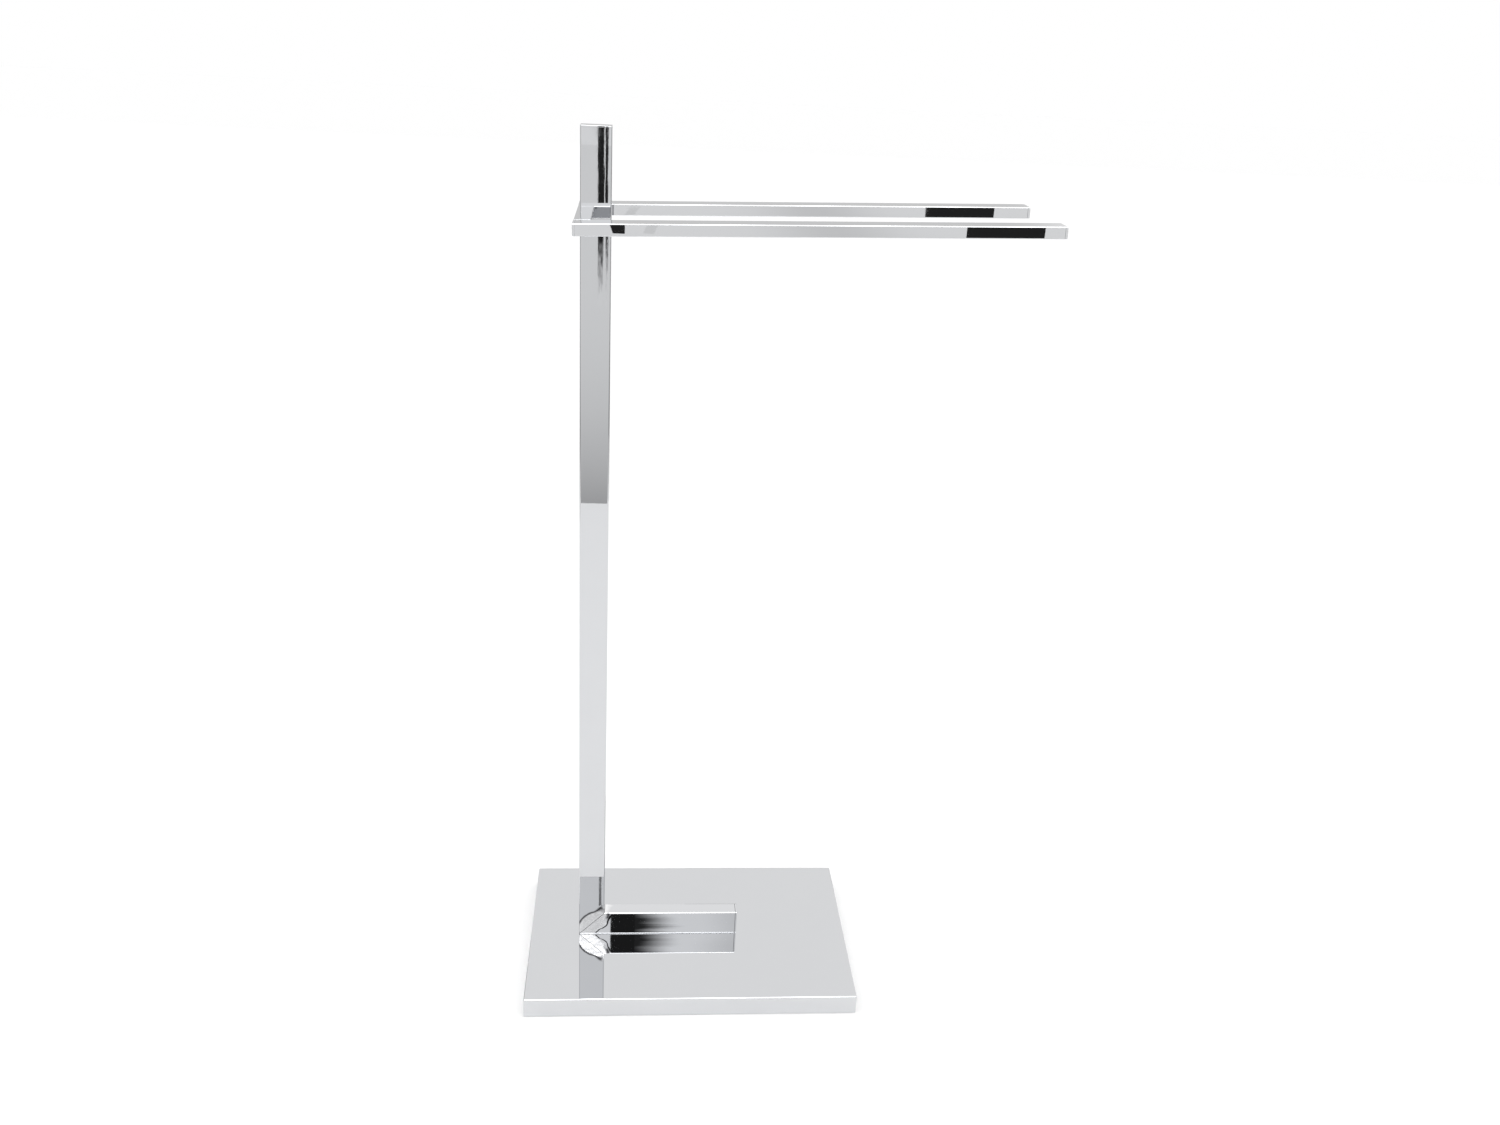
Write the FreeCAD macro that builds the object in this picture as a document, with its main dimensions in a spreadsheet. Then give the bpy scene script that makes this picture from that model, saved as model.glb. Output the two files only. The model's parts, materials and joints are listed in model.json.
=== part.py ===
import FreeCAD, Part
import Sketcher
import os
from FreeCAD import Placement, Rotation, Vector

# Free-standing towel valet: an L of mitred rectangular tube on a weighted base,
# carrying a U-shaped rail frame near its top.
# Frame: origin on the floor under the middle of the base, +X towards the rails' free ends,
# +Y towards the rear rail, +Z up.  Millimetres and degrees.

DIMENSIONS = (
    # base
    ("base_length", 338.0),       # along X
    ("base_width", 221.0),        # along Y
    ("base_top", 21.0),           # top of the cover above the floor
    ("cover_lift", 0.6),          # rim of the cover above the floor
    ("cover_sheet", 1.2),
    ("cover_edge_radius", 1.3),
    ("fit_gap", 0.8),             # between the cover's walls and what sits inside it
    ("inner_corner", 2.0),        # upright corners of the weight and the pan
    ("weight_thickness", 8.0),
    ("pad_thickness", 1.5),
    ("pad_inset", 5.0),
    ("pad_corner", 6.0),
    ("pan_sheet", 1.5),
    ("access_hole", 22.0),        # in pan and pad, to reach the foot screws
    ("pan_screw_inset", 22.0),
    ("pan_screw_dia", 4.0),
    ("pan_screw_clear", 4.5),
    ("pan_screw_head", 7.5),
    ("pan_screw_grip", 6.0),      # length in the weight
    ("spacer_dia", 10.0),
    # post and foot
    ("tube_broad", 27.0),
    ("tube_narrow", 16.0),
    ("tube_wall", 1.5),
    ("tube_corner", 1.2),
    ("post_left", -118.0),        # outer face of the post
    ("post_top", 850.0),
    ("foot_end", 51.0),
    ("cap_plate", 1.5),
    ("plug_depth", 9.0),
    ("plug_wall", 1.5),
    ("plug_gap", 0.15),
    # foot screws
    ("foot_screw_dia", 6.0),
    ("foot_screw_clear", 6.6),
    ("foot_screw_length", 20.0),
    ("foot_screw_head_dia", 10.0),
    ("foot_screw_head", 6.0),
    ("foot_screw_socket", 5.0),   # across flats
    ("foot_screw_x", -62.0),
    ("foot_screw_pitch", 84.0),
    ("washer_dia", 12.5),
    ("washer_thickness", 1.6),
    ("nut_bar_thickness", 6.0),
    ("nut_bar_end", 12.0),        # bar beyond each screw
    # rails
    ("rail_bottom", 768.0),       # underside of the rails at the post's outer face
    ("rail_rise", 1.9),           # degrees, upwards to the free ends
    ("rail_pitch", 118.5),        # between the rails' middles
    ("rail_broad", 22.5),
    ("rail_height", 10.3),
    ("rail_wall", 1.2),
    ("rail_corner", 0.8),
    ("rail_start", -3.5),         # from the post's outer face, along the rail
    ("rail_length", 412.0),       # with both caps
    ("rail_cap_plate", 2.0),
    ("rail_plug_depth", 8.0),
    ("crossbar_width", 15.0),
    ("cap_rim", 0.35),            # rounding of every cap's outer edge
    ("rail_screw_dia", 5.0),
    ("rail_screw_clear", 5.5),
    ("rail_screw_head", 9.6),
    ("rail_screw_length", 25.0),
    ("rail_screw_socket", 3.0),
    ("nut_block_height", 20.0),
    ("nut_block_gap", 0.8),
)

doc = FreeCAD.newDocument("valet_stand")
sheet = doc.addObject("Spreadsheet::Sheet", "dims")
for row, (alias, value) in enumerate(DIMENSIONS, start=1):
    sheet.set(f"A{row}", alias)
    sheet.set(f"B{row}", str(value))
    sheet.setAlias(f"B{row}", alias)
doc.recompute()

nodes = []


def cell(expression):
    """Write every alias of the sheet in an expression as a reference to its cell."""
    words = expression.replace("(", "( ").replace(")", " )").split()
    names = {alias for alias, _ in DIMENSIONS}
    return " ".join(f"dims.{word}" if word in names else word for word in words)


def bind(item, sizes):
    """Bind properties of an object to expressions over the sheet."""
    for name, expression in sizes.items():
        item.setExpression(name, cell(expression))
    return item


def node(item, label):
    item.Label = label
    nodes.append(item)
    return item


def place(item, x="0", y="0", z="0"):
    return bind(item, {"Placement.Base.x": x, "Placement.Base.y": y, "Placement.Base.z": z})


def place_on_rail(item, along="0", across="0", above="0", axis=Vector(0, -1, 0), turn="rail_rise"):
    """Place an object by its distance along, across and above the rising rail frame."""
    item.Placement = Placement(Vector(), Rotation(axis, 1))
    bind(item, {"Placement.Rotation.Angle": turn})
    return place(
        item,
        f"post_left + ( {along} ) * cos( rail_rise * 1 deg ) - ( {above} ) * sin( rail_rise * 1 deg )",
        across,
        f"rail_bottom + ( {along} ) * sin( rail_rise * 1 deg ) + ( {above} ) * cos( rail_rise * 1 deg )",
    )


# ---- PartDesign helpers ----

X_AXIS, Y_AXIS, Z_AXIS = Vector(1, 0, 0), Vector(0, 1, 0), Vector(0, 0, 1)
TOLERANCE = 1e-6


def new_body(label):
    return doc.addObject("PartDesign::Body", f"{label}_body")


def new_sketch(body, name, plane):
    sketch = body.newObject("Sketcher::SketchObject", name)
    origin_plane = next(item for item in body.Origin.OriginFeatures if item.Role == plane)
    sketch.AttachmentSupport = (origin_plane, "")
    sketch.MapMode = "FlatFace"
    return sketch


def add_distances(sketch, element, vertex, x, y):
    """Hold one point of a sketch at (x, y) from the sketch's origin."""
    for direction, expression in (("DistanceX", x), ("DistanceY", y)):
        constraint = Sketcher.Constraint(direction, -1, 1, element, vertex, 1.0)
        number = sketch.addConstraint(constraint)
        sketch.setExpression(f"Constraints[{number}]", cell(expression))


def add_polygon(sketch, points):
    """Closed outline through points given as pairs of expressions."""
    first = sketch.GeometryCount
    count = len(points)
    start = [Vector(10 * (index + 1), 7 * (index % 3), 0) for index in range(count)]
    for index in range(count):
        sketch.addGeometry(Part.LineSegment(start[index], start[(index + 1) % count]), False)
    for index, (x, y) in enumerate(points):
        following = first + (index + 1) % count
        sketch.addConstraint(Sketcher.Constraint("Coincident", first + index, 2, following, 1))
        add_distances(sketch, first + index, 1, x, y)


def add_rectangle(sketch, width, height, x="0", y="0"):
    """Rectangle about the point (x, y)."""
    sides = ((-1, -1), (1, -1), (1, 1), (-1, 1))
    add_polygon(sketch, [
        (f"{x} + {side_x} * ( {width} ) / 2", f"{y} + {side_y} * ( {height} ) / 2")
        for side_x, side_y in sides
    ])


def add_circle(sketch, diameter, x="0", y="0"):
    index = sketch.addGeometry(Part.Circle(Vector(3, 2, 0), Z_AXIS, 4), False)
    number = sketch.addConstraint(Sketcher.Constraint("Diameter", index, 8.0))
    sketch.setExpression(f"Constraints[{number}]", cell(diameter))
    add_distances(sketch, index, 3, x, y)


def pad(body, sketch, length, reverse=False, symmetric=False):
    feature = body.newObject("PartDesign::Pad", f"{sketch.Name}_pad")
    feature.Profile = sketch
    feature.Reversed = reverse
    if symmetric:
        feature.SideType = "Symmetric"
    bind(feature, {"Length": length})
    return feature


def pocket(body, sketch, length=None, reverse=False, symmetric=False):
    """Cut a sketch out of a body, through it unless a length is given."""
    doc.recompute()
    volume_before = body.Tip.Shape.Volume
    feature = body.newObject("PartDesign::Pocket", f"{sketch.Name}_pocket")
    feature.Profile = sketch
    feature.Reversed = reverse
    if symmetric:
        feature.SideType = "Symmetric"
    if length is None:
        feature.Type = "ThroughAll"
    else:
        bind(feature, {"Length": length})
    doc.recompute()
    if not feature.Shape.Volume < volume_before - TOLERANCE:
        raise RuntimeError(f"{feature.Name} cuts nothing")
    return feature


def fillet(body, radius, wanted):
    """Round the edges of a body that a test picks."""
    doc.recompute()
    base = body.Tip
    names = [f"Edge{number}" for number, edge in enumerate(base.Shape.Edges, start=1) if wanted(edge)]
    feature = body.newObject("PartDesign::Fillet", f"{base.Name}_fillet")
    feature.Base = (base, names)
    bind(feature, {"Radius": radius})
    doc.recompute()
    return feature


def shell(body, normal, thickness):
    """Hollow a body out, leaving its flat face with the given outward normal open."""
    doc.recompute()
    base = body.Tip
    opened = [f"Face{number}" for number, face in enumerate(base.Shape.Faces, start=1)
              if face.normalAt(0, 0).dot(normal) > 1 - TOLERANCE]
    feature = body.newObject("PartDesign::Thickness", f"{base.Name}_shell")
    feature.Base = (base, opened)
    feature.Reversed = True
    bind(feature, {"Value": thickness})
    return feature


def runs_along(axis):
    """A test for straight edges parallel to an axis."""
    def test(edge):
        direction = edge.lastVertex().Point - edge.firstVertex().Point
        return direction.Length > TOLERANCE and abs(direction.normalize().dot(axis)) > 1 - TOLERANCE
    return test


def on_outside_along(body, axis):
    """A test for a tube's outer lengthwise edges: the ones at its bounding box's corners."""
    doc.recompute()
    box = body.Tip.Shape.BoundBox
    parallel = runs_along(axis)

    def test(edge):
        point = edge.firstVertex().Point
        limits = ((point.x, box.XMin, box.XMax, X_AXIS), (point.y, box.YMin, box.YMax, Y_AXIS),
                  (point.z, box.ZMin, box.ZMax, Z_AXIS))
        at_corner = all(min(abs(value - low), abs(value - high)) < TOLERANCE
                        for value, low, high, way in limits if way != axis)
        return parallel(edge) and at_corner
    return test


def at_end(body, axis, sign):
    """A test for the edges that lie in a body's end plane."""
    doc.recompute()
    heights = [vertex.Point.dot(axis) * sign for vertex in body.Tip.Shape.Vertexes]
    end = max(heights)
    return lambda edge: all(abs(vertex.Point.dot(axis) * sign - end) < TOLERANCE
                            for vertex in edge.Vertexes)


# ---- Part helpers ----

def cylinder(name, diameter, height, x="0", y="0", z="0"):
    item = doc.addObject("Part::Cylinder", name)
    return place(bind(item, {"Radius": f"( {diameter} ) / 2", "Height": height}), x, y, z)


def cone(name, start_diameter, end_diameter, height, x="0", y="0", z="0"):
    item = doc.addObject("Part::Cone", name)
    bind(item, {"Radius1": f"( {start_diameter} ) / 2", "Radius2": f"( {end_diameter} ) / 2"})
    return place(bind(item, {"Height": height}), x, y, z)


def hexagon(name, across_flats, height, x="0", y="0", z="0"):
    item = doc.addObject("Part::Prism", name)
    item.Polygon = 6
    radius = f"( {across_flats} ) / 2 / cos( 30 deg )"
    return place(bind(item, {"Circumradius": radius, "Height": height}), x, y, z)


def fuse(name, pieces):
    item = doc.addObject("Part::MultiFuse", name)
    item.Shapes = pieces
    return item


def cut(name, base, tool):
    item = doc.addObject("Part::Cut", name)
    item.Base = base
    item.Tool = tool
    return item


def group(label, pieces):
    """One node of identical fasteners that stay separate solids."""
    item = doc.addObject("Part::Compound", f"{label}_group")
    item.Links = pieces
    return node(item, label)


# ---- base ----

FOOT_SCREW_PLACES = ("foot_screw_x", "foot_screw_x + foot_screw_pitch")
PAN_SCREW_PLACES = [
    (f"{side_x} * ( base_length / 2 - pan_screw_inset )",
     f"{side_y} * ( base_width / 2 - pan_screw_inset )")
    for side_x in (-1, 1) for side_y in (-1, 1)
]
INNER_LENGTH = "base_length - 2 * cover_sheet - 2 * fit_gap"
INNER_WIDTH = "base_width - 2 * cover_sheet - 2 * fit_gap"
WEIGHT_TOP = "base_top - cover_sheet"
WEIGHT_BOTTOM = "base_top - cover_sheet - weight_thickness"
PAN_TOP = "pad_thickness + pan_sheet"


def make_base_cover():
    """Folded sheet cover, open below."""
    body = new_body("base_cover")
    outline = new_sketch(body, "cover_outline", "XY_Plane")
    add_rectangle(outline, "base_length", "base_width")
    pad(body, outline, "base_top - cover_lift")
    fillet(body, "cover_edge_radius", on_outside_along(body, Z_AXIS))
    fillet(body, "cover_edge_radius", at_end(body, Z_AXIS, 1))
    shell(body, Vector(0, 0, -1), "cover_sheet")
    holes = new_sketch(body, "cover_holes", "XY_Plane")
    for x in FOOT_SCREW_PLACES:
        add_circle(holes, "foot_screw_clear", x)
    pocket(body, holes, reverse=True)
    node(place(body, z="cover_lift"), "base_cover")


def make_base_weight():
    """Steel plate close under the cover's top."""
    body = new_body("base_weight")
    outline = new_sketch(body, "weight_outline", "XY_Plane")
    add_rectangle(outline, INNER_LENGTH, INNER_WIDTH)
    for x in FOOT_SCREW_PLACES:
        add_circle(outline, "foot_screw_clear", x)
    pad(body, outline, "weight_thickness")
    fillet(body, "inner_corner", on_outside_along(body, Z_AXIS))
    threads = new_sketch(body, "weight_threads", "XY_Plane")
    for x, y in PAN_SCREW_PLACES:
        add_circle(threads, "pan_screw_dia", x, y)
    pocket(body, threads, "pan_screw_grip", reverse=True)
    node(place(body, z=WEIGHT_BOTTOM), "base_weight")


def make_bottom_pan():
    """Shallow pan that closes the base from below and bears on the weight with its rim."""
    body = new_body("bottom_pan")
    outline = new_sketch(body, "pan_outline", "XY_Plane")
    add_rectangle(outline, INNER_LENGTH, INNER_WIDTH)
    pad(body, outline, f"{WEIGHT_BOTTOM} - pad_thickness")
    fillet(body, "inner_corner", on_outside_along(body, Z_AXIS))
    shell(body, Z_AXIS, "pan_sheet")
    holes = new_sketch(body, "pan_access_holes", "XY_Plane")
    for x in FOOT_SCREW_PLACES:
        add_circle(holes, "access_hole", x)
    pocket(body, holes, "pan_sheet", reverse=True)
    countersinks = [
        cone(f"pan_countersink_{number}", "pan_screw_head", "pan_screw_clear",
             "( pan_screw_head - pan_screw_clear ) / 2", x, y)
        for number, (x, y) in enumerate(PAN_SCREW_PLACES)
    ]
    pan = cut("bottom_pan_drilled", body, fuse("pan_countersinks", countersinks))
    node(place(pan, z="pad_thickness"), "bottom_pan")


def make_pan_fixings():
    """Countersunk screws through spacers that hold the pan to the weight."""
    head_height = "( pan_screw_head - pan_screw_dia ) / 2"
    screws, spacers = [], []
    for number, (x, y) in enumerate(PAN_SCREW_PLACES):
        head = cone(f"pan_screw_head_{number}", "pan_screw_head", "pan_screw_dia",
                    head_height, x, y, "pad_thickness")
        shank = cylinder(f"pan_screw_shank_{number}", "pan_screw_dia",
                         f"{WEIGHT_BOTTOM} - pad_thickness + pan_screw_grip", x, y, "pad_thickness")
        socket = hexagon(f"pan_screw_socket_{number}", "pan_screw_dia / 2", head_height, x, y,
                         "pad_thickness")
        solid = fuse(f"pan_screw_blank_{number}", [head, shank])
        screws.append(cut(f"pan_screw_{number}", solid, socket))
        height = f"{WEIGHT_BOTTOM} - ( {PAN_TOP} )"
        sleeve = cylinder(f"spacer_sleeve_{number}", "spacer_dia", height, x, y, PAN_TOP)
        bore = cylinder(f"spacer_bore_{number}", "pan_screw_clear", height, x, y, PAN_TOP)
        spacers.append(cut(f"spacer_{number}", sleeve, bore))
    group("pan_spacers", spacers)
    group("pan_screws", screws)


def make_anti_slip_pad():
    """Rubber sheet that the stand rests on, with holes to reach the foot screws."""
    body = new_body("anti_slip_pad")
    outline = new_sketch(body, "anti_slip_outline", "XY_Plane")
    add_rectangle(outline, "base_length - 2 * pad_inset", "base_width - 2 * pad_inset")
    for x in FOOT_SCREW_PLACES:
        add_circle(outline, "access_hole", x)
    pad(body, outline, "pad_thickness")
    fillet(body, "pad_corner", on_outside_along(body, Z_AXIS))
    node(place(body), "anti_slip_pad")


# ---- post and foot, one tube with a mitred corner ----

FOOT_LENGTH = "foot_end - cap_plate - post_left"
POST_LENGTH = "post_top - cap_plate - base_top"
BEYOND = "tube_broad + 1"     # past the tube's side, so that a cut leaves no skin


def make_tube(label, plane, axis, length, width, height, wall, corner, x="0", y="0"):
    """Rectangular tube with rounded outer corners, its section about (x, y) of the plane."""
    body = new_body(label)
    section = new_sketch(body, f"{label}_section", plane)
    add_rectangle(section, width, height, x, y)
    add_rectangle(section, f"{width} - 2 * {wall}", f"{height} - 2 * {wall}", x, y)
    pad(body, section, length)
    fillet(body, corner, on_outside_along(body, axis))
    return body


def make_foot_tube():
    body = make_tube("foot_tube", "YZ_Plane", X_AXIS, FOOT_LENGTH,
                     "tube_narrow", "tube_broad", "tube_wall", "tube_corner", y="tube_broad / 2")
    mitre = new_sketch(body, "foot_mitre", "XZ_Plane")
    add_polygon(mitre, [("-1", "-1"), (BEYOND, BEYOND), ("-1", BEYOND)])
    pocket(body, mitre, symmetric=True)
    holes = new_sketch(body, "foot_screw_holes", "XY_Plane")
    for x in FOOT_SCREW_PLACES:
        add_circle(holes, "foot_screw_clear", f"{x} - post_left")
    pocket(body, holes, "tube_wall", reverse=True)
    node(place(body, "post_left", "0", "base_top"), "foot_tube")


def make_post_tube():
    """Upright, mitred at the foot and notched for the crossbar."""
    body = make_tube("post_tube", "XY_Plane", Z_AXIS, POST_LENGTH,
                     "tube_broad", "tube_narrow", "tube_wall", "tube_corner", x="tube_broad / 2")
    mitre = new_sketch(body, "post_mitre", "XZ_Plane")
    add_polygon(mitre, [("-1", "-1"), (BEYOND, "-1"), (BEYOND, BEYOND)])
    pocket(body, mitre, symmetric=True)
    notch = new_sketch(body, "post_notch", "XZ_Plane")
    notch.AttachmentOffset = Placement(Vector(), Rotation(Z_AXIS, 1))
    bind(notch, {"AttachmentOffset.Base.y": "rail_bottom - base_top",
                 "AttachmentOffset.Rotation.Angle": "rail_rise"})
    inner = "rail_start + crossbar_width"
    add_polygon(notch, [("-5", "0"), (inner, "0"), (inner, "rail_height"), ("-5", "rail_height")])
    pocket(body, notch, symmetric=True)
    node(place(body, "post_left", "0", "base_top"), "post_tube")


def make_cap(label, plane, axis, sign, width, height, wall, corner, plate, depth):
    """End cap: a plate as wide as the tube, and a hollow plug that fits inside it."""
    body = new_body(label)
    outline = new_sketch(body, f"{label}_outline", plane)
    add_rectangle(outline, width, height)
    pad(body, outline, plate, reverse=sign < 0)
    fillet(body, corner, on_outside_along(body, axis))
    fillet(body, "cap_rim", at_end(body, axis, sign))
    section = new_sketch(body, f"{label}_plug", plane)
    inset = f"2 * {wall} - 2 * plug_gap"
    add_rectangle(section, f"{width} - {inset}", f"{height} - {inset}")
    add_rectangle(section, f"{width} - {inset} - 2 * plug_wall", f"{height} - {inset} - 2 * plug_wall")
    pad(body, section, depth, reverse=sign > 0)
    return body


def make_tube_caps():
    foot_cap = make_cap("foot_cap", "YZ_Plane", X_AXIS, 1, "tube_narrow", "tube_broad",
                        "tube_wall", "tube_corner", "cap_plate", "plug_depth")
    place(foot_cap, "foot_end - cap_plate", "0", "base_top + tube_broad / 2")
    node(foot_cap, "foot_cap")
    post_cap = make_cap("post_cap", "XY_Plane", Z_AXIS, 1, "tube_broad", "tube_narrow",
                        "tube_wall", "tube_corner", "cap_plate", "plug_depth")
    place(post_cap, "post_left + tube_broad / 2", "0", "post_top - cap_plate")
    node(post_cap, "post_cap")


def make_foot_fixings():
    """Socket screws from below, with washers, into a threaded bar inside the foot."""
    washer_bottom = f"{WEIGHT_BOTTOM} - washer_thickness"
    head_bottom = f"{washer_bottom} - foot_screw_head"
    screws, washers = [], []
    for number, x in enumerate(FOOT_SCREW_PLACES):
        head = cylinder(f"foot_screw_head_{number}", "foot_screw_head_dia", "foot_screw_head",
                        x, z=head_bottom)
        shank = cylinder(f"foot_screw_shank_{number}", "foot_screw_dia",
                         "foot_screw_head + foot_screw_length", x, z=head_bottom)
        socket = hexagon(f"foot_screw_socket_{number}", "foot_screw_socket", "foot_screw_head / 2",
                         x, z=head_bottom)
        solid = fuse(f"foot_screw_blank_{number}", [head, shank])
        screws.append(cut(f"foot_screw_{number}", solid, socket))
        disc = cylinder(f"washer_disc_{number}", "washer_dia", "washer_thickness", x, z=washer_bottom)
        hole = cylinder(f"washer_hole_{number}", "foot_screw_clear", "washer_thickness",
                        x, z=washer_bottom)
        washers.append(cut(f"washer_{number}", disc, hole))
    group("foot_screws", screws)
    group("foot_washers", washers)


def make_foot_nut_bar():
    body = new_body("foot_nut_bar")
    outline = new_sketch(body, "nut_bar_outline", "XY_Plane")
    add_rectangle(outline, "foot_screw_pitch + 2 * nut_bar_end", "tube_narrow - 2 * tube_wall",
                  "foot_screw_pitch / 2")
    for x in ("0", "foot_screw_pitch"):
        add_circle(outline, "foot_screw_dia", x)
    pad(body, outline, "nut_bar_thickness")
    node(place(body, "foot_screw_x", "0", "base_top + tube_wall"), "foot_nut_bar")


# ---- rail frame, rising slightly to its free ends ----

RAIL_SIDES = (("front_rail", -1), ("rear_rail", 1))


def make_rail(label, side):
    across = f"{side} * rail_pitch / 2"
    tube = make_tube(label, "YZ_Plane", X_AXIS, "rail_length - 2 * rail_cap_plate",
                     "rail_broad", "rail_height", "rail_wall", "rail_corner", y="rail_height / 2")
    node(place_on_rail(tube, "rail_start + rail_cap_plate", across), label)
    ends = (("left", -1, "rail_start + rail_cap_plate"),
            ("right", 1, "rail_start + rail_length - rail_cap_plate"))
    for end, sign, along in ends:
        cap = make_cap(f"{label}_{end}_cap", "YZ_Plane", X_AXIS, sign, "rail_broad", "rail_height",
                       "rail_wall", "rail_corner", "rail_cap_plate", "rail_plug_depth")
        node(place_on_rail(cap, along, across, "rail_height / 2"), f"{label}_{end}_cap")


def make_rail_crossbar():
    """Solid bar between the rails, in the post's notch, with a countersunk hole."""
    body = new_body("rail_crossbar")
    section = new_sketch(body, "crossbar_section", "XZ_Plane")
    add_rectangle(section, "crossbar_width", "rail_height", "crossbar_width / 2")
    pad(body, section, "rail_pitch - rail_broad", symmetric=True)
    fillet(body, "rail_corner", on_outside_along(body, Y_AXIS))
    sink = cone("crossbar_countersink", "rail_screw_head", "rail_screw_clear",
                "( rail_screw_head - rail_screw_clear ) / 2")
    bore = cylinder("crossbar_bore", "rail_screw_clear", "crossbar_width")
    tool = fuse("crossbar_drill", [sink, bore])
    tool.Placement = Placement(Vector(), Rotation(Y_AXIS, 90))
    bar = cut("crossbar_drilled", body, tool)
    node(place_on_rail(bar, "rail_start", above="rail_height / 2"), "rail_crossbar")


def make_rail_screw():
    """Countersunk socket screw from the crossbar's outer side into the block in the post."""
    head_height = "( rail_screw_head - rail_screw_dia ) / 2"
    head = cone("rail_screw_cone", "rail_screw_head", "rail_screw_dia", head_height)
    shank = cylinder("rail_screw_shank", "rail_screw_dia", "rail_screw_length")
    socket = hexagon("rail_screw_hexagon", "rail_screw_socket", head_height)
    screw = cut("rail_screw_solid", fuse("rail_screw_blank", [head, shank]), socket)
    place_on_rail(screw, "rail_start", above="rail_height / 2", axis=Y_AXIS, turn="90 - rail_rise")
    node(screw, "rail_screw")


def make_rail_nut_block():
    """Threaded block welded inside the post behind the notch."""
    body = new_body("rail_nut_block")
    outline = new_sketch(body, "nut_block_outline", "YZ_Plane")
    add_rectangle(outline, "tube_narrow - 2 * tube_wall", "nut_block_height")
    add_circle(outline, "rail_screw_dia")
    pad(body, outline, "tube_broad - tube_wall - nut_block_gap - rail_start - crossbar_width")
    place_on_rail(body, "rail_start + crossbar_width", above="rail_height / 2")
    node(body, "rail_nut_block")


make_base_cover()
make_base_weight()
make_bottom_pan()
make_pan_fixings()
make_anti_slip_pad()
make_foot_tube()
make_foot_fixings()
make_foot_nut_bar()
make_post_tube()
make_tube_caps()
for rail_label, rail_side in RAIL_SIDES:
    make_rail(rail_label, rail_side)
make_rail_crossbar()
make_rail_screw()
make_rail_nut_block()
doc.recompute()

broken = [item.Name for item in doc.Objects if {"Invalid", "Error"} & set(item.State)]
bad_shapes = [item.Label for item in nodes if item.Shape.isNull() or not item.Shape.isValid()]
if broken or bad_shapes:
    raise RuntimeError(f"failed objects: {broken}, bad shapes: {bad_shapes}")

os.makedirs("parts", exist_ok=True)
for item in nodes:
    item.Shape.exportStep(os.path.join("parts", f"{item.Label}.step"))
    box = item.Shape.BoundBox
    print(f"{item.Label:22s} solids {len(item.Shape.Solids)}  volume {item.Shape.Volume:10.0f}  "
          f"x {box.XMin:.1f}..{box.XMax:.1f}  y {box.YMin:.1f}..{box.YMax:.1f}  "
          f"z {box.ZMin:.1f}..{box.ZMax:.1f}")
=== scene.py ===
import json
import math
import bpy
from mathutils import Matrix, Vector


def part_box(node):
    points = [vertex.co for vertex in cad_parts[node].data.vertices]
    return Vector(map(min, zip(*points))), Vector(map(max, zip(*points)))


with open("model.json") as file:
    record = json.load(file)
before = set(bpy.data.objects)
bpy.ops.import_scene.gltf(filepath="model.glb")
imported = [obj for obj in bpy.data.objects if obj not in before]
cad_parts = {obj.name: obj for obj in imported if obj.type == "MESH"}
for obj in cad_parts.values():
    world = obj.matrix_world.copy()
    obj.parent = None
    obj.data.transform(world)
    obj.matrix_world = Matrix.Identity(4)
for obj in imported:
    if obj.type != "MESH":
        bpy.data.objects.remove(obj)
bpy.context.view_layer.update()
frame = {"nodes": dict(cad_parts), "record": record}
NODES = frame["nodes"]

MM = 0.001


# ---- camera ----

LENS_MM = 31.66
CAMERA_PLACE = Vector((-0.0664, -1.1715, 0.9420))
CAMERA_TURN = math.radians(-5.44)     # to the right of +Y
CAMERA_DOWN = math.radians(22.53)
CAMERA_ROLL = math.radians(-3.14)


def make_camera():
    data = bpy.data.cameras.new("camera")
    data.lens = LENS_MM
    data.sensor_width = 36.0
    data.clip_end = 100.0
    camera = bpy.data.objects.new("camera", data)
    bpy.context.scene.collection.objects.link(camera)
    camera.matrix_world = (
        Matrix.Translation(CAMERA_PLACE)
        @ Matrix.Rotation(CAMERA_TURN, 4, "Z")
        @ Matrix.Rotation(-CAMERA_DOWN, 4, "X")
        @ Matrix.Rotation(CAMERA_ROLL, 4, "Y")
        @ Matrix.Rotation(math.pi / 2, 4, "X")
    )
    bpy.context.scene.camera = camera


# ---- node helpers ----

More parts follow.
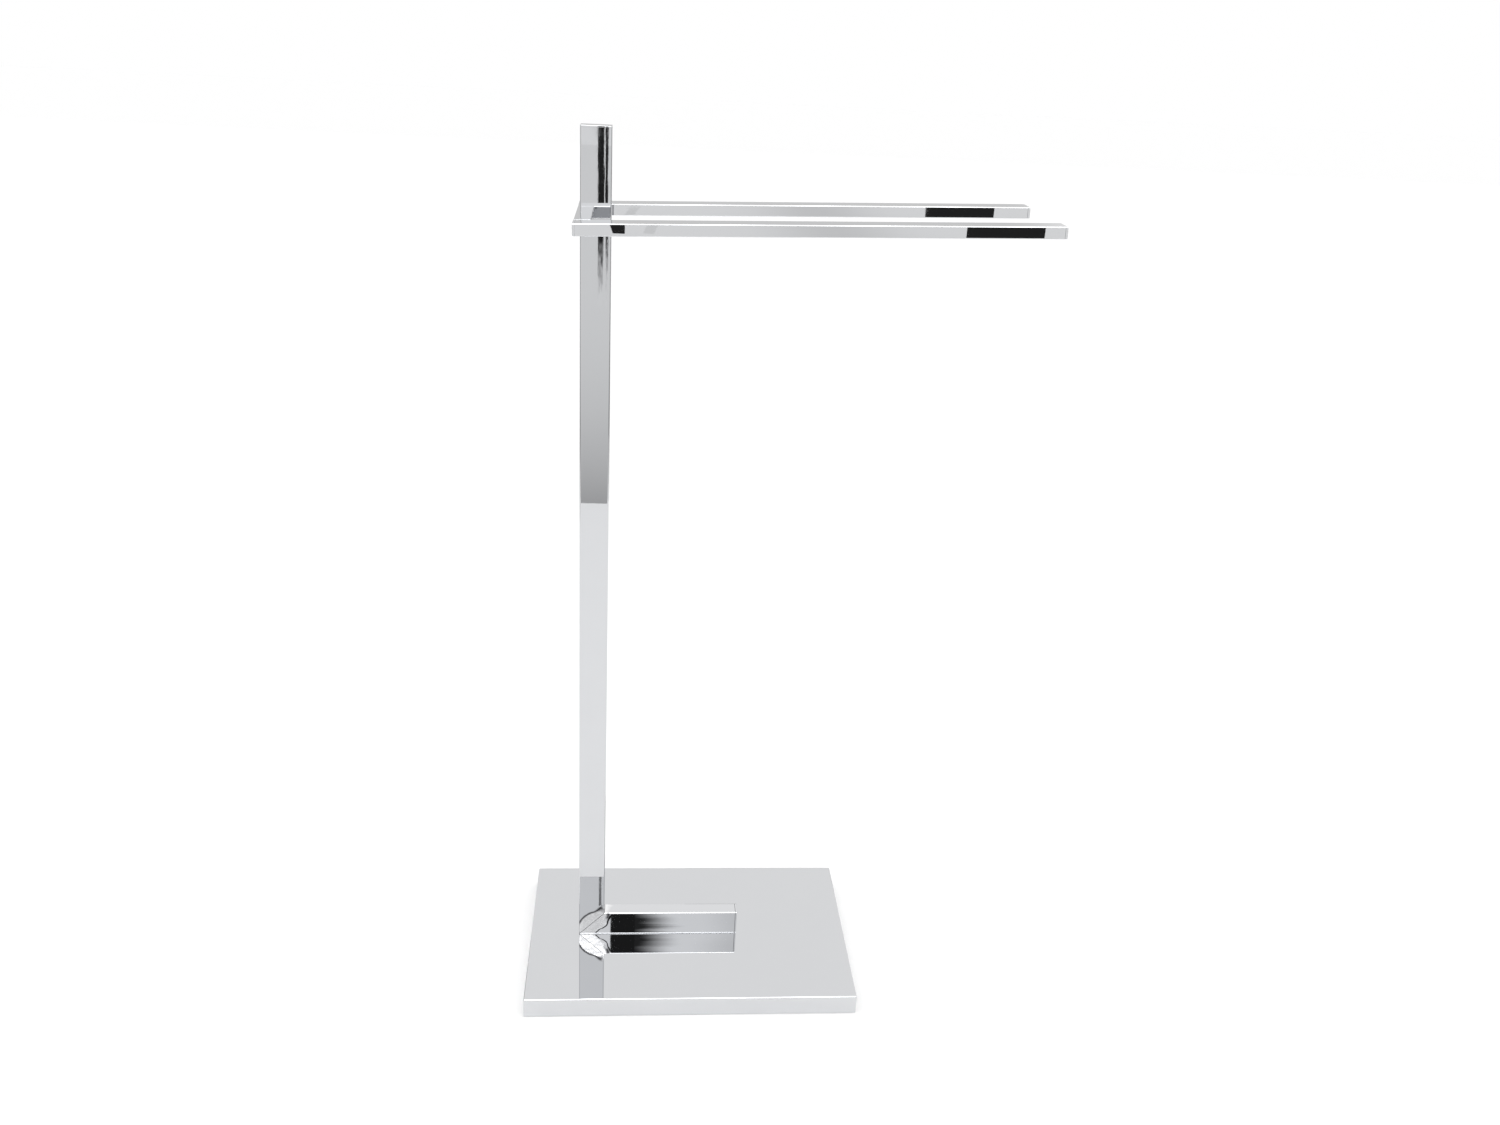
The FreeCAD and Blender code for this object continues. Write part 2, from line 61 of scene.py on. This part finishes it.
class Graph:
    """A material's node tree, with short ways to add and join nodes."""

    def __init__(self, name):
        self.material = bpy.data.materials.new(name)
        self.material.use_nodes = True
        self.tree = self.material.node_tree
        self.tree.nodes.clear()
        self.output = self.add("OutputMaterial")

    def add(self, kind, links=None, **settings):
        node = self.tree.nodes.new(f"ShaderNode{kind}")
        for name, value in settings.items():
            setattr(node, name, value)
        for socket, value in (links or {}).items():
            self.join(value, node.inputs[socket])
        return node

    def join(self, value, socket):
        """Link a socket to an input, or set the input to a plain value."""
        if isinstance(value, bpy.types.NodeSocket):
            self.tree.links.new(value, socket)
        else:
            socket.default_value = value

    def place(self):
        """Position in the part's own frame, in metres."""
        return self.add("TexCoord").outputs["Object"]

    def axes(self, vector):
        """The X, Y and Z of a vector."""
        return self.add("SeparateXYZ", {0: vector}).outputs

    def math(self, operation, first, second=0.0):
        return self.add("Math", {0: first, 1: second}, operation=operation).outputs[0]

    def noise(self, place, per_metre, detail=2.0, roughness=0.5):
        """Smooth noise from 0 to 1; per_metre is one count, or one for each axis."""
        scale = per_metre if isinstance(per_metre, tuple) else (per_metre,) * 3
        mapped = self.add("Mapping", {"Vector": place, "Scale": scale}).outputs[0]
        links = {"Vector": mapped, "Scale": 1.0, "Detail": detail, "Roughness": roughness}
        return self.add("TexNoise", links).outputs["Fac"]

    def ramp(self, value, low, high, out_low, out_high):
        """A smooth step from out_low, where the value is low, to out_high, where it is high."""
        ends = {"From Min": low, "From Max": high, "To Min": out_low, "To Max": out_high}
        return self.add("MapRange", {"Value": value, **ends}, interpolation_type="SMOOTHSTEP").outputs[0]

    def blend(self, factor, first, second):
        """Mix two colours, each a socket or three numbers."""
        node = self.add("Mix", {0: factor}, data_type="RGBA")
        for index, color in ((6, first), (7, second)):
            self.join((*color, 1) if isinstance(color, tuple) else color, node.inputs[index])
        return node.outputs[2]

    def bump(self, microns, normal=None):
        """Surface normal from a height given in thousandths of a millimetre."""
        links = {"Height": microns, "Distance": 1e-6, "Strength": 1.0}
        if normal:
            links["Normal"] = normal
        return self.add("Bump", links).outputs[0]

    def shade(self, **sockets):
        """Finish the material with one shader; underscores stand for spaces in its sockets' names."""
        links = {name.replace("_", " "): value for name, value in sockets.items()}
        shader = self.add("BsdfPrincipled", links)
        self.join(shader.outputs[0], self.output.inputs["Surface"])
        return self.material

    def emit(self, radiance):
        """Finish the material as a plain emitting surface."""
        light = self.add("Emission", {"Strength": radiance})
        self.join(light.outputs[0], self.output.inputs["Surface"])
        return self.material


# ---- materials ----

# each chrome has two tints, clean and smudged; the post's pair is the same plating painted darker, which
# is painted shade
TUBE_CHROME = (0.708, 0.714, 0.728), (0.690, 0.697, 0.712)
POST_CHROME_PAINTED_DARKER = (0.634, 0.641, 0.655), (0.616, 0.624, 0.640)
SHEET_CHROME = (0.668, 0.675, 0.688), (0.650, 0.657, 0.672)
WAVE_MICRONS = 2.2                  # height of the polishing waves
PEEL_MICRONS = 0.8

# the weld at the mitre of post and foot, ground flush and polished by hand
MITRE_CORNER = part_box("foot_tube")[0]
MITRE_REACH = 17 * MM, 23 * MM      # off the mitre's line, from where the zone fades to where it ends
MITRE_RAGGED = 9 * MM
MITRE_MIDDLE = 13.5 * MM            # along each tube from the corner
MITRE_TAPER = 0.45
MITRE_MICRONS = 160.0               # height of the dents that the hand polishing leaves
MITRE_HAZE = 0.12
MITRE_LEAN = 0.10                   # how far the surface leans up
# painted highlight: the weld zone's chrome is tinted near white
MITRE_PAINTED_HIGHLIGHT = (0.93, 0.93, 0.935)
MITRE_PAINTED_DARK_EDGE = (0.07, 0.07, 0.075)    # the line where the polishing stops, painted near black on the faces across Y as a painted dark reflection
FOOT_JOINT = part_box("foot_tube")[1][0]      # where the foot's cap meets its tube
SEAM_REACH = 0.15 * MM, 0.55 * MM
SEAM_COLOR = (0.05, 0.05, 0.05)


def mitre_zone(graph, place):
    """The polished weld, 1 near the mitre's line and 0 on the drawn tubes, and the foot's fine seams."""
    from_corner = graph.add("VectorMath", {0: place, 1: MITRE_CORNER}, operation="SUBTRACT").outputs[0]
    right, _, up = graph.axes(from_corner)
    off_line = graph.math("ABSOLUTE", graph.math("SUBTRACT", right, up))
    beyond_middle = graph.math("SUBTRACT", graph.math("ADD", right, up), 2 * MITRE_MIDDLE)
    along = graph.math("MULTIPLY", beyond_middle, MITRE_TAPER)
    squares = (graph.math("MULTIPLY", off_line, off_line), graph.math("MULTIPLY", along, along))
    away = graph.math("SQRT", graph.math("ADD", *squares))
    ragged = graph.math("MULTIPLY", graph.noise(place, 90.0, 1.0), MITRE_RAGGED)
    zone = graph.ramp(graph.math("ADD", away, ragged), *MITRE_REACH, 1.0, 0.0)
    off_cap = graph.math("ABSOLUTE", graph.math("SUBTRACT", graph.axes(place)[0], FOOT_JOINT))
    seam = graph.ramp(graph.math("MINIMUM", off_line, off_cap), *SEAM_REACH, 1.0, 0.0)
    return zone, seam


def make_chrome(name, tints, draw_lines, mitre=False):
    """Mirror chrome over polished metal.

    draw_lines counts the polishing waves per metre along each axis: few along the grain.
    With mitre, the weld of post and foot shows: its colour is raised near white as a painted highlight,
    and its border is painted near black as a painted reflection."""
    graph = Graph(name)
    place = graph.place()
    waves = graph.math("MULTIPLY", graph.noise(place, draw_lines, 2.0), WAVE_MICRONS)
    peel = graph.math("MULTIPLY", graph.noise(place, 210.0, 1.0), PEEL_MICRONS)
    height = graph.math("ADD", waves, peel)
    normal = graph.add("NewGeometry").outputs["Normal"]
    smudge = graph.noise(place, 23.0, 4.0, 0.6)
    hairline = graph.noise(place, tuple(12 * count for count in draw_lines), 1.0)
    gloss = graph.math("ADD", graph.ramp(smudge, 0.50, 0.78, 0.010, 0.045),
                       graph.ramp(hairline, 0.62, 0.80, 0.0, 0.02))
    color = graph.blend(smudge, *tints)
    if mitre:
        zone, seam = mitre_zone(graph, place)
        patches = graph.ramp(graph.noise(place, 75.0, 1.0), 0.44, 0.58, 0.0, 1.0)
        outside = graph.math("SUBTRACT", 1.0, zone)
        border = graph.math("MULTIPLY", graph.math("MULTIPLY", zone, outside), 4.0)
        broad_face = graph.math("ABSOLUTE", graph.axes(normal)[1])
        # painted dark reflection: near-black patches along the zone's border, on the faces across Y
        painted_dark_edge = graph.math("MULTIPLY", graph.math("MULTIPLY", border, broad_face), patches)
        # painted highlight over the weld zone
        color = graph.blend(zone, color, MITRE_PAINTED_HIGHLIGHT)
        color = graph.blend(painted_dark_edge, color, MITRE_PAINTED_DARK_EDGE)
        color = graph.blend(seam, color, SEAM_COLOR)
        dents = graph.math("MULTIPLY", graph.noise(place, 110.0, 1.0), MITRE_MICRONS)
        height = graph.math("ADD", height, graph.math("MULTIPLY", dents, zone))
        gloss = graph.math("ADD", gloss, graph.math("MULTIPLY", zone, MITRE_HAZE))
        lean = graph.add("CombineXYZ", {2: graph.math("MULTIPLY", zone, MITRE_LEAN)}).outputs[0]
        normal = graph.add("VectorMath", {0: normal, 1: lean}, operation="ADD").outputs[0]
    return graph.shade(
        Base_Color=color,
        Metallic=1.0,
        Roughness=gloss,
        Normal=graph.bump(height, normal),
    )


def make_ballast_steel():
    """Hot-rolled plate under a thin dark primer."""
    graph = Graph("ballast_steel")
    place = graph.place()
    scale = graph.noise(place, 60.0, 6.0, 0.65)
    grit = graph.noise(place, 1800.0, 2.0)
    height = graph.math("ADD", graph.math("MULTIPLY", scale, 60.0), graph.math("MULTIPLY", grit, 12.0))
    return graph.shade(
        Base_Color=graph.blend(scale, (0.028, 0.028, 0.030), (0.055, 0.052, 0.050)),
        Metallic=0.2,
        Roughness=graph.ramp(scale, 0.3, 0.7, 0.42, 0.68),
        Normal=graph.bump(height),
    )


def make_pan_steel():
    """Black powder coat with its fine orange peel, rubbed a little on the high spots."""
    graph = Graph("pan_steel")
    place = graph.place()
    peel = graph.noise(place, 900.0, 2.0)
    rub = graph.ramp(graph.noise(place, 35.0, 5.0, 0.7), 0.55, 0.75, 0.0, 1.0)
    return graph.shade(
        Base_Color=graph.blend(rub, (0.018, 0.018, 0.019), (0.045, 0.044, 0.043)),
        Metallic=0.0,
        Roughness=graph.ramp(peel, 0.3, 0.7, 0.34, 0.5),
        Normal=graph.bump(graph.math("MULTIPLY", peel, 45.0)),
    )


def make_plated_fasteners():
    """Bright zinc plate, slightly cloudy, with the bluish cast of its passivation."""
    graph = Graph("plated_fasteners")
    place = graph.place()
    cloud = graph.noise(place, 260.0, 4.0, 0.6)
    grain = graph.noise(place, 3500.0, 2.0)
    return graph.shade(
        Base_Color=graph.blend(cloud, (0.60, 0.62, 0.66), (0.46, 0.46, 0.45)),
        Metallic=1.0,
        Roughness=graph.ramp(cloud, 0.3, 0.7, 0.2, 0.38),
        Normal=graph.bump(graph.math("MULTIPLY", grain, 4.0)),
    )


def make_stainless_screw():
    """Turned stainless steel."""
    graph = Graph("stainless_screw")
    place = graph.place()
    turning = graph.noise(place, (2600.0, 300.0, 300.0), 2.0)
    return graph.shade(
        Base_Color=graph.blend(turning, (0.62, 0.60, 0.58), (0.50, 0.49, 0.48)),
        Metallic=1.0,
        Roughness=graph.ramp(turning, 0.3, 0.7, 0.16, 0.3),
        Normal=graph.bump(graph.math("MULTIPLY", turning, 3.0)),
    )


def make_pad_rubber():
    """Dense black rubber sheet with a fine matt grain and a little dust."""
    graph = Graph("pad_rubber")
    place = graph.place()
    grain = graph.noise(place, 2200.0, 3.0)
    dust = graph.ramp(graph.noise(place, 28.0, 6.0, 0.7), 0.5, 0.8, 0.0, 1.0)
    return graph.shade(
        Base_Color=graph.blend(dust, (0.016, 0.016, 0.016), (0.075, 0.072, 0.068)),
        Metallic=0.0,
        Roughness=graph.ramp(grain, 0.3, 0.7, 0.62, 0.85),
        Normal=graph.bump(graph.math("MULTIPLY", grain, 30.0)),
    )


ACROSS, ALONG = 320.0, 14.0         # polishing waves per metre on drawn tube
SHEET_WAVES = (9.0, 30.0, 30.0)
CHROME_LEVEL = make_chrome("chrome_level", TUBE_CHROME, (ALONG, ACROSS, ACROSS))
CHROME_FOOT = make_chrome("chrome_foot", TUBE_CHROME, (ALONG, ACROSS, ACROSS), mitre=True)
# the post takes the darker tints, which is painted shade
CHROME_UPRIGHT = make_chrome("chrome_upright", POST_CHROME_PAINTED_DARKER, (ACROSS, ACROSS, ALONG), mitre=True)
CHROME_SHEET = make_chrome("chrome_sheet", SHEET_CHROME, SHEET_WAVES)
CHROME_OF = {
    "post_tube": CHROME_UPRIGHT,
    "post_cap": CHROME_SHEET,
    "foot_tube": CHROME_FOOT,
    "base_cover": CHROME_SHEET,
}
MATERIALS = {
    "ballast_steel": make_ballast_steel(),
    "pan_steel": make_pan_steel(),
    "plated_fasteners": make_plated_fasteners(),
    "stainless_screw": make_stainless_screw(),
    "pad_rubber": make_pad_rubber(),
}


def dress_cad_nodes():
    for subpart in frame["record"]["subparts"]:
        name, slot = subpart["node"], subpart["material_slot"]
        material = CHROME_OF.get(name, CHROME_LEVEL) if slot == "polished_chrome" else MATERIALS[slot]
        mesh = NODES[name].data
        mesh.materials.clear()
        mesh.materials.append(material)


SEAM_RADIUS = 0.22 * MM
SHARP_ANGLE = math.radians(40)
EASED = (
    "post_tube", "foot_tube", "post_cap", "foot_cap", "front_rail", "rear_rail", "rail_crossbar",
    "front_rail_left_cap", "front_rail_right_cap", "rear_rail_left_cap", "rear_rail_right_cap",
)


def ease_edges(names):
    """Break the sharp edges of cut and fitted pieces, which opens a fine seam where two meet."""
    for name in names:
        item = NODES[name]
        weld = item.modifiers.new("join", "WELD")
        weld.merge_threshold = 1e-6
        bevel = item.modifiers.new("ease", "BEVEL")
        bevel.width = SEAM_RADIUS
        bevel.segments = 2
        bevel.limit_method = "ANGLE"
        bevel.angle_limit = SHARP_ANGLE
        bevel.harden_normals = True
        item.modifiers.new("flat", "WEIGHTED_NORMAL").keep_sharp = True


# ---- studio ----

def quad(name, corners, material):
    mesh = bpy.data.meshes.new(name)
    mesh.from_pydata([tuple(corner) for corner in corners], [], [(0, 1, 2, 3)])
    mesh.materials.append(material)
    item = bpy.data.objects.new(name, mesh)
    bpy.context.scene.collection.objects.link(item)
    return item


def card(name, corners, material):
    """A flag or reflector that only mirrors see."""
    item = quad(name, corners, material)
    item.visible_camera = False
    item.visible_diffuse = False
    item.visible_shadow = False
    item.visible_transmission = False
    item.visible_volume_scatter = False


def facing_y(y, x0, x1, z0, z1, lean=0.0):
    """Upright quad across Y; lean moves its upper left corner along X."""
    return [(x0, y, z0), (x1, y, z0), (x1, y, z1), (x0 + lean, y, z1)]


def facing_centre(angle, distance, width, z0, z1):
    """Upright quad that faces the stand from one side."""
    middle = Vector((math.cos(angle), math.sin(angle), 0)) * distance
    half = Vector((-math.sin(angle), math.cos(angle), 0)) * width / 2
    low, high = Vector((0, 0, z0)), Vector((0, 0, z1))
    return [middle - half + low, middle + half + low, middle + half + high, middle - half + high]


def level(z, x0, x1, y0, y1, lean=0.0):
    """Level quad; lean moves its far edge along X."""
    return [(x0, y0, z), (x1, y0, z), (x1 + lean, y1, z), (x0 + lean, y1, z)]


FLOOR_HALF = 15.0
FLOOR_GLOW = 0.10               # keeps the pale floor evenly white
LIT_HALF = 1.4                  # the lit floor that mirrors see reaches this far on every side
DIM_HALF_X, DIM_HALF_Y = 8, 9   # and the dimmer cards around it this far
CARD_LIFT = 2 * MM              # of level cards, off the floor

BACKDROP_RADIANCE = 0.90        # in front of the stand, past the lit floor
BACKDROP_DIP = 0.40, 0.55       # darker by this next to the lit floor, over about this distance
BACKDROP_BAND = 0.17            # darker by this in a soft band that runs away from the stand
BAND_X, BAND_WIDTH = 0.86, 0.30

DIM_FADE = 1.2, 3.4             # how far out the floor beside and behind goes from dim to bright
DIM_RADIANCE = 0.45, 0.92

LAMP_SIZE = 2.4, 1.6
LAMP_WATTS = 11
LAMP_PLACE = (0, -0.6, 2.6)

TRIPOD_Y = -1.25                # the photographer's tripod and camera
FLAG_Y = -0.49                  # flags close in front of the rails

STRIP_DISTANCE = 1.7
STRIP_BOTTOM = 20 * MM
BELOW_SKY = 0.74                # behind, strips stay lower than what the level faces show
STRIPS = (                      # degrees from +X, width, top
    (337, 0.80, 1.1), (2, 0.10, 1.3), (28, 0.30, 1.3), (58, 0.16, BELOW_SKY), (82, 0.34, BELOW_SKY),
    (112, 0.12, BELOW_SKY), (138, 0.30, 1.3), (163, 0.12, 1.3), (203, 0.50, 1.1),
)


def floor_material():
    graph = Graph("floor")
    mottle = graph.noise(graph.place(), 9.0, 3.0)
    return graph.shade(
        Base_Color=graph.blend(mottle, (0.90, 0.90, 0.90), (0.885, 0.885, 0.885)),
        Roughness=0.9,
        Emission_Color=(1, 1, 1, 1),
        Emission_Strength=FLOOR_GLOW,
    )


def far_floor_material():
    """Dim just past the lit floor, and brighter again further away."""
    graph = Graph("far_floor")
    right, back, _ = graph.axes(graph.place())
    depth, distance = BACKDROP_DIP
    past_edge = graph.math("ADD", back, LIT_HALF)
    fall = graph.math("EXPONENT", graph.math("DIVIDE", past_edge, distance))
    dip = graph.math("MULTIPLY", fall, depth)
    side = graph.math("DIVIDE", graph.math("SUBTRACT", right, BAND_X), BAND_WIDTH)
    minus_square = graph.math("MULTIPLY", side, graph.math("MULTIPLY", side, -1.0))
    band = graph.math("MULTIPLY", graph.math("EXPONENT", minus_square), BACKDROP_BAND)
    return graph.emit(graph.math("SUBTRACT", BACKDROP_RADIANCE, graph.math("ADD", dip, band)))


def fading_material(name, axis, start, end, dark, light, streaks):
    """From dark at start to light at end along one axis, with a border as streaky as the noise."""
    graph = Graph(name)
    place = graph.place()
    swing = graph.math("SUBTRACT", graph.noise(place, streaks, 2.0), 0.5)
    wander = graph.math("MULTIPLY", swing, end - start)
    along = graph.math("ADD", graph.axes(place)[axis], wander)
    return graph.emit(graph.ramp(along, start, end, dark, light))


def dim_floor(name, axis, sign):
    """Dim where the lit floor ends, and brighter further away."""
    start, end = DIM_FADE
    return fading_material(name, axis, start * sign, end * sign, *DIM_RADIANCE, (0.5, 0.5, 0.5))


def make_lights():
    world = bpy.data.worlds.new("studio")
    bpy.context.scene.world = world
    world.use_nodes = True
    background = world.node_tree.nodes["Background"]
    background.inputs["Color"].default_value = (1, 1, 1, 1)
    background.inputs["Strength"].default_value = 1.0

    data = bpy.data.lights.new("overhead", "AREA")
    data.shape = "RECTANGLE"
    data.size, data.size_y = LAMP_SIZE
    data.energy = LAMP_WATTS
    lamp = bpy.data.objects.new("overhead", data)
    bpy.context.scene.collection.objects.link(lamp)
    lamp.location = LAMP_PLACE
    lamp.visible_camera = False
    lamp.visible_glossy = False


def make_front_cards():
    """What the faces towards the camera show: floor, wall, softbox, tripod, camera and flags."""
    dark = Graph("flag_dark").emit(0.02)
    grey = Graph("flag_grey").emit(0.30)
    pale = Graph("flag_pale").emit(0.78)
    bright = Graph("softbox").emit(6.0)
    wall = fading_material("wall_white", 0, 0.10, 0.24, 1.22, 0.98, (0.1, 0.1, 9.0))
    fading = fading_material("tripod_fading", 2, 0.570, 0.455, 0.02, 0.90, (420.0, 1.0, 60.0))
    grip = fading_material("grip_fading", 0, -0.050, 0.045, 0.03, 1.22, (2.0, 1.0, 70.0))

    card("far_floor", level(CARD_LIFT, -DIM_HALF_X, DIM_HALF_X, -DIM_HALF_Y, -LIT_HALF),
         far_floor_material())
    card("front_wall", facing_y(-1.60, -1.5, 1.5, 0.90, 1.60), wall)
    card("top_softbox", level(2.0, -1.2, 1.2, -1.5, -0.2), bright)
    upright_cards = (           # name, material, Y, left, right, bottom, top
        ("tripod_upper", dark, TRIPOD_Y, -0.1420, -0.1304, 0.612, 0.80),
        ("tripod_upper_thin", dark, TRIPOD_Y, -0.1288, -0.1240, 0.612, 0.80),
        ("tripod_lower", fading, TRIPOD_Y, -0.1420, -0.1310, 0.44, 0.580),
        ("tripod_lower_thin", fading, TRIPOD_Y, -0.1262, -0.1232, 0.44, 0.580),
        ("camera_body", dark, TRIPOD_Y, -0.104, -0.050, 0.90, 1.08),
        ("camera_grip", grip, TRIPOD_Y - 0.01, -0.052, 0.07, 0.90, 1.08),
        ("tripod_top", grey, TRIPOD_Y, -0.1290, -0.1245, 0.84, 0.955),
    )
    for name, material, y, left, right, bottom, top in upright_cards:
        card(name, facing_y(y, left, right, bottom, top), material)
    card("near_flag", facing_y(FLAG_Y, -0.0968, -0.0835, 0.7065, 0.7185, -0.0045), dark)
    card("side_flag", facing_y(FLAG_Y, 0.3072, 0.3990, 0.700, 0.745), dark)
    card("floor_mark_near", level(2 * CARD_LIFT, -0.053, -0.003, -5.07, -5.37, 0.023), pale)
    card("floor_mark_far", level(2 * CARD_LIFT, -0.146, -0.100, -5.37, -5.70, 0.032), pale)


def make_other_cards():
    """What the rails' tops and the faces to the sides and back show."""
    beyond = fading_material("beyond_rails", 0, 1.05, 1.50, 0.66, 1.05, (0.3, 1.0, 14.0))
    card("rail_sky", facing_y(3.0, -1.5, 3.5, 0.90, 1.60), beyond)
    card("floor_behind", level(CARD_LIFT, -DIM_HALF_X, DIM_HALF_X, LIT_HALF, DIM_HALF_Y),
         dim_floor("floor_behind", 1, 1))
    card("floor_right", level(CARD_LIFT, LIT_HALF, DIM_HALF_X, -LIT_HALF, LIT_HALF),
         dim_floor("floor_right", 0, 1))
    card("floor_left", level(CARD_LIFT, -DIM_HALF_X, -LIT_HALF, -LIT_HALF, LIT_HALF),
         dim_floor("floor_left", 0, -1))
    strip = fading_material("strip_fading", 2, 0.90, 1.70, 0.05, 1.0, (0.5, 0.5, 0.5))
    for number, (angle, width, top) in enumerate(STRIPS):
        corners = facing_centre(math.radians(angle), STRIP_DISTANCE, width, STRIP_BOTTOM, top)
        card(f"strip_{number}", corners, strip)


def make_studio():
    quad("floor", level(0, -FLOOR_HALF, FLOOR_HALF, -FLOOR_HALF, FLOOR_HALF), floor_material())
    make_lights()
    make_front_cards()
    make_other_cards()
    bpy.context.scene.view_settings.view_transform = "Standard"


make_camera()
dress_cad_nodes()
ease_edges(EASED)
make_studio()
